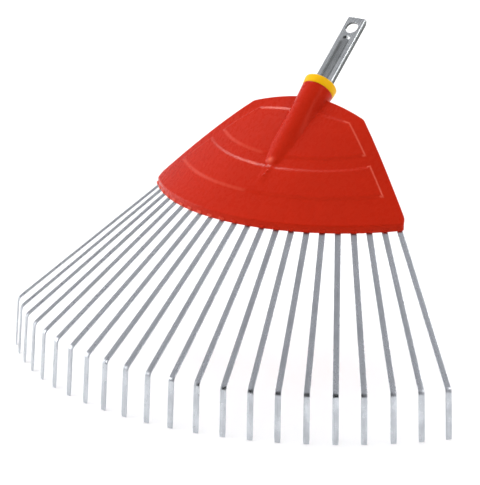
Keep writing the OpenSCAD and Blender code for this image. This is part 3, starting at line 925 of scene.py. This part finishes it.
# ---------------------------------------------------------------- materials
class Nodes:
    """Builds one material's nodes."""

    def __init__(self, name):
        self.material = bpy.data.materials.new(name)
        self.material.use_nodes = True
        self.tree = self.material.node_tree
        self.shader = self.tree.nodes["Principled BSDF"]
        self.where = self.tree.nodes.new("ShaderNodeTexCoord").outputs["Object"]

    def new(self, kind, **values):
        node = self.tree.nodes.new("ShaderNode" + kind)
        for key, value in values.items():
            if hasattr(node, key):
                setattr(node, key, value)
            else:
                node.inputs[key.replace("_", " ")].default_value = value
        return node

    def link(self, a, b):
        self.tree.links.new(a, b)

    def noise(self, scale, detail=4.0, rough=0.55, stretch=None, source=None):
        where = source or self.where
        if stretch:
            mapping = self.new("Mapping")
            mapping.inputs["Scale"].default_value = stretch
            self.link(where, mapping.inputs["Vector"])
            where = mapping.outputs["Vector"]
        node = self.new("TexNoise", Scale=scale, Detail=detail, Roughness=rough)
        self.link(where, node.inputs["Vector"])
        return node.outputs["Fac"]

    def ramp(self, value, low, high, out_low, out_high):
        node = self.new("MapRange")
        for key, v in (("From Min", low), ("From Max", high), ("To Min", out_low), ("To Max", out_high)):
            node.inputs[key].default_value = v
        self.link(value, node.inputs["Value"])
        return node.outputs["Result"]

    def mix(self, factor, a, b):
        node = self.new("Mix", data_type="RGBA")
        for socket, value in ((node.inputs[0], factor), (node.inputs[6], a), (node.inputs[7], b)):
            if isinstance(value, bpy.types.NodeSocket):
                self.link(value, socket)
            else:
                socket.default_value = value
        return node.outputs[2]

    def bump(self, height, strength, distance, before=None):
        node = self.new("Bump", Strength=strength, Distance=distance)
        self.link(height, node.inputs["Height"])
        if before:
            self.link(before, node.inputs["Normal"])
        return node.outputs["Normal"]


# Pink of the painted highlight on the shroud's edges, pips, socket tip and hoods
PAINTED_HIGHLIGHT = (0.72, 0.115, 0.07, 1)


def plastic(name, colour, deep, worn, roughness, grain=1.0, specular=0.14, tint=(1, 0.3, 0.2, 1)):
    """Moulded plastic: flow clouding, fine mould texture, light scuffs, rubbed edges, and a painted highlight
    where the shade attribute is set.
    """
    m = Nodes(name)
    clouds = m.noise(22, 3)
    base = m.mix(m.ramp(clouds, 0.35, 0.7, 0, 1), colour, deep)
    scuff = m.noise(260, 6, 0.7, stretch=(1, 0.35, 1))
    edge = m.new("NewGeometry").outputs["Pointiness"]
    wear_and_highlight = m.ramp(edge, 0.53, 0.62, 0, 0.35)
    base = m.mix(wear_and_highlight, base, worn)
    # Painted highlight, mixed in by the shade attribute
    base = m.mix(m.new("Attribute", attribute_name="shade").outputs["Fac"], base, PAINTED_HIGHLIGHT)
    m.link(base, m.shader.inputs["Base Color"])
    m.link(m.ramp(scuff, 0.45, 0.75, roughness, roughness + 0.14), m.shader.inputs["Roughness"])
    m.shader.inputs["Specular IOR Level"].default_value = specular
    m.shader.inputs["Specular Tint"].default_value = tint
    orange = m.bump(m.noise(700, 2), 0.03 * grain, 0.0003)
    m.link(m.bump(m.noise(3200, 2), 0.06 * grain, 0.0001, orange), m.shader.inputs["Normal"])
    return m.material


def tine_steel(name):
    """Galvanised strip: drawn lines along its length, zinc clouding and small dark specks."""
    m = Nodes(name)
    flow = m.new("Attribute", attribute_name="flow").outputs["Vector"]
    streaks = m.noise(1, 3, 0.6, stretch=(1900, 22, 3.7), source=flow)
    clouds = m.noise(1, 4, 0.6, stretch=(160, 55, 5.3), source=flow)
    specks = m.noise(1, 2, 0.5, stretch=(520, 330, 9.1), source=flow)
    base = m.mix(m.ramp(clouds, 0.35, 0.7, 0, 1), (0.60, 0.625, 0.66, 1), (0.46, 0.48, 0.51, 1))
    base = m.mix(m.ramp(streaks, 0.5, 0.8, 0, 0.5), base, (0.27, 0.28, 0.31, 1))
    base = m.mix(m.ramp(specks, 0.74, 0.80, 0, 0.8), base, (0.10, 0.085, 0.07, 1))
    m.link(base, m.shader.inputs["Base Color"])
    m.shader.inputs["Metallic"].default_value = 1.0
    m.link(m.ramp(clouds, 0.3, 0.75, 0.20, 0.40), m.shader.inputs["Roughness"])
    m.link(m.bump(streaks, 0.15, 0.00008), m.shader.inputs["Normal"])
    return m.material


def plated_steel(name, light, dark, rough=(0.16, 0.36), across=60.0, dark_shade=None):
    """Bright zinc plating over rolled sheet: fine rolling lines, soft clouding, rubbed edges, and painted
    shade where the shade attribute is set.
    """
    m = Nodes(name)
    lines = m.noise(1, 4, 0.6, stretch=(1500, across, across))
    clouds = m.noise(90, 4, 0.6)
    base = m.mix(m.ramp(clouds, 0.35, 0.7, 0, 1), light, dark)
    edge = m.ramp(m.new("NewGeometry").outputs["Pointiness"], 0.52, 0.60, 0, 0.6)
    base = m.mix(edge, base, (0.78, 0.79, 0.80, 1))
    # Painted shade, mixed in by the shade attribute
    if dark_shade:
        base = m.mix(m.new("Attribute", attribute_name="shade").outputs["Fac"], base, dark_shade)
    m.link(base, m.shader.inputs["Base Color"])
    m.shader.inputs["Metallic"].default_value = 1.0
    m.link(m.ramp(lines, 0.3, 0.75, *rough), m.shader.inputs["Roughness"])
    m.link(m.bump(lines, 0.12, 0.00006), m.shader.inputs["Normal"])
    return m.material


# ---------------------------------------------------------------- the object
red = plastic(
    "shroud_red", (0.49, 0.0175, 0.0045, 1), (0.46, 0.016, 0.004, 1), (0.55, 0.04, 0.02, 1), 0.26,
)
dull_red = plastic(
    "clamp_red", (0.42, 0.018, 0.008, 1), (0.36, 0.014, 0.006, 1), (0.5, 0.06, 0.03, 1), 0.42, grain=1.6,
)
yellow = plastic(
    "collar_yellow", (0.90, 0.50, 0.004, 1), (0.82, 0.42, 0.004, 1), (0.95, 0.62, 0.05, 1), 0.34,
    tint=(1, 0.9, 0.5, 1),
)
zinc = plated_steel(
    "tang_zinc", (0.60, 0.62, 0.63, 1), (0.48, 0.50, 0.51, 1), dark_shade=(0.05, 0.055, 0.05, 1),
)
screw_zinc = plated_steel(
    "screw_zinc", (0.62, 0.62, 0.60, 1), (0.46, 0.46, 0.45, 1), rough=(0.22, 0.4),
)
galvanised = tine_steel("tine_galvanised")

make_shroud(red)
make_collar(yellow)
make_tang(zinc)
PATH, SECTION, RNG = tine_path(), tine_section(), random.Random(7)
for body in TINES:
    make_tine(body, PATH, SECTION, galvanised, RNG)
BETTER = {"clamp_plate": dull_red, "clamp_screws": screw_zinc, "tang_screw": screw_zinc}
for node, material in BETTER.items():
    held = frame["nodes"][node]
    held.data.materials.clear()
    held.data.materials.append(material)


# ---------------------------------------------------------------- floor, light and camera
def grey(v, blue=1.0):
    return (v, v, v * blue, 1)


def make_floor():
    """A white floor just below the tips."""
    mesh = bpy.data.meshes.new("floor")
    half, z = 14.0, cad_box[0].z - 0.0004
    corners = [(-half, -half, z), (half, -half, z), (half, half, z), (-half, half, z)]
    mesh.from_pydata(corners, [], [(0, 1, 2, 3)])
    floor = bpy.data.objects.new("floor", mesh)
    bpy.context.scene.collection.objects.link(floor)
    m = Nodes("floor_white")
    m.link(m.mix(m.noise(3, 2), grey(0.86), grey(0.88)), m.shader.inputs["Base Color"])
    m.shader.inputs["Roughness"].default_value = 0.9
    m.shader.inputs["Specular IOR Level"].default_value = 0.1
    m.shader.inputs["Emission Color"].default_value = (1, 1, 1, 1)
    m.shader.inputs["Emission Strength"].default_value = 0.11
    mesh.materials.append(m.material)


def direction(azimuth, elevation):
    """Unit direction away from the object, at a view's azimuth and elevation."""
    return (sin(azimuth) * cos(elevation), -cos(azimuth) * cos(elevation), sin(elevation))


def make_world(level, patches):
    """A soft studio: an even room, with brighter or darker patches of wall. A patch is (azimuth,
    elevation, half angle, soft edge, flatness, colour), where flatness squeezes its height."""
    world = bpy.data.worlds.new("studio")
    bpy.context.scene.world = world
    world.use_nodes = True
    tree = world.node_tree
    where = tree.nodes.new("ShaderNodeTexCoord").outputs["Generated"]
    colour = None
    for azimuth, elevation, half, soft, flat, shade in patches:
        spin = tree.nodes.new("ShaderNodeVectorRotate")
        spin.rotation_type = "Z_AXIS"
        spin.inputs["Angle"].default_value = math.radians(-azimuth)
        tree.links.new(where, spin.inputs["Vector"])
        away = tree.nodes.new("ShaderNodeVectorMath")
        away.operation = "SUBTRACT"
        away.inputs[1].default_value = direction(0, elevation)
        tree.links.new(spin.outputs[0], away.inputs[0])
        squeeze = tree.nodes.new("ShaderNodeVectorMath")
        squeeze.operation = "MULTIPLY"
        squeeze.inputs[1].default_value = (1, 1, flat)
        tree.links.new(away.outputs[0], squeeze.inputs[0])
        size = tree.nodes.new("ShaderNodeVectorMath")
        size.operation = "LENGTH"
        tree.links.new(squeeze.outputs[0], size.inputs[0])
        reach = tree.nodes.new("ShaderNodeMapRange")
        reach.interpolation_type = "SMOOTHSTEP"
        reach.inputs["From Min"].default_value = math.radians(half)
        reach.inputs["From Max"].default_value = math.radians(half + soft)
        reach.inputs["To Min"].default_value = 1
        reach.inputs["To Max"].default_value = 0
        tree.links.new(size.outputs["Value"], reach.inputs["Value"])
        mix = tree.nodes.new("ShaderNodeMix")
        mix.data_type = "RGBA"
        tree.links.new(reach.outputs["Result"], mix.inputs[0])
        if colour:
            tree.links.new(colour, mix.inputs[6])
        else:
            mix.inputs[6].default_value = level
        mix.inputs[7].default_value = shade
        colour = mix.outputs[2]
    tree.links.new(colour, tree.nodes["Background"].inputs["Color"])


def add_light(name, kind, energy, position, target, **values):
    data = bpy.data.lights.new(name, kind)
    data.energy = energy
    for key, value in values.items():
        setattr(data, key, value)
    lamp = bpy.data.objects.new(name, data)
    bpy.context.scene.collection.objects.link(lamp)
    lamp.location = position
    lamp.rotation_euler = (Vector(target) - Vector(position)).to_track_quat("-Z", "Y").to_euler()
    return lamp


def make_camera():
    """The photograph's view, through a long lens."""
    azimuth, elevation, distance = 32.95, 17.87, 3.2736
    target = Vector((cad_box[0] + cad_box[1]) / 2) + Vector((0.0954, -0.1771, 0.0427))
    back = Vector(direction(azimuth, elevation))
    data = bpy.data.cameras.new("camera")
    camera = bpy.data.objects.new("camera", data)
    bpy.context.scene.collection.objects.link(camera)
    camera.location = target + back * distance
    camera.rotation_euler = (-back).to_track_quat("-Z", "Y").to_euler()
    data.sensor_fit, data.sensor_height, data.lens = "VERTICAL", 36.0, 317.5
    data.clip_end = 60
    bpy.context.scene.camera = camera


make_floor()
# A slightly darker wall, six bright panels, and a dark patch near the camera
make_world(grey(0.55, 1.04), [
    (-122, 8, 18, 14, 1.3, grey(0.5, 1.05)),
    (94, 43, 5.5, 4, 1.0, grey(8.0)),
    (-129, 43, 5.5, 3, 1.0, grey(9.0)),
    (155, 36, 8, 4, 1.0, grey(9.0)),
    (-81, 10, 14, 6, 1.0, grey(4.0, 1.03)),
    (-75, 21, 7, 4, 1.0, grey(3.5)),
    (-44, 28, 8, 4, 1.0, grey(3.0)),
    (17, 22, 30, 8, 1.3, grey(0.02)),
])
key_light = add_light("key", "SUN", 1.62, direction(-52, 50), (0, 0, 0), angle=math.radians(90))
key_light.visible_glossy = False
make_camera()
bpy.context.scene.view_settings.view_transform = "Standard"
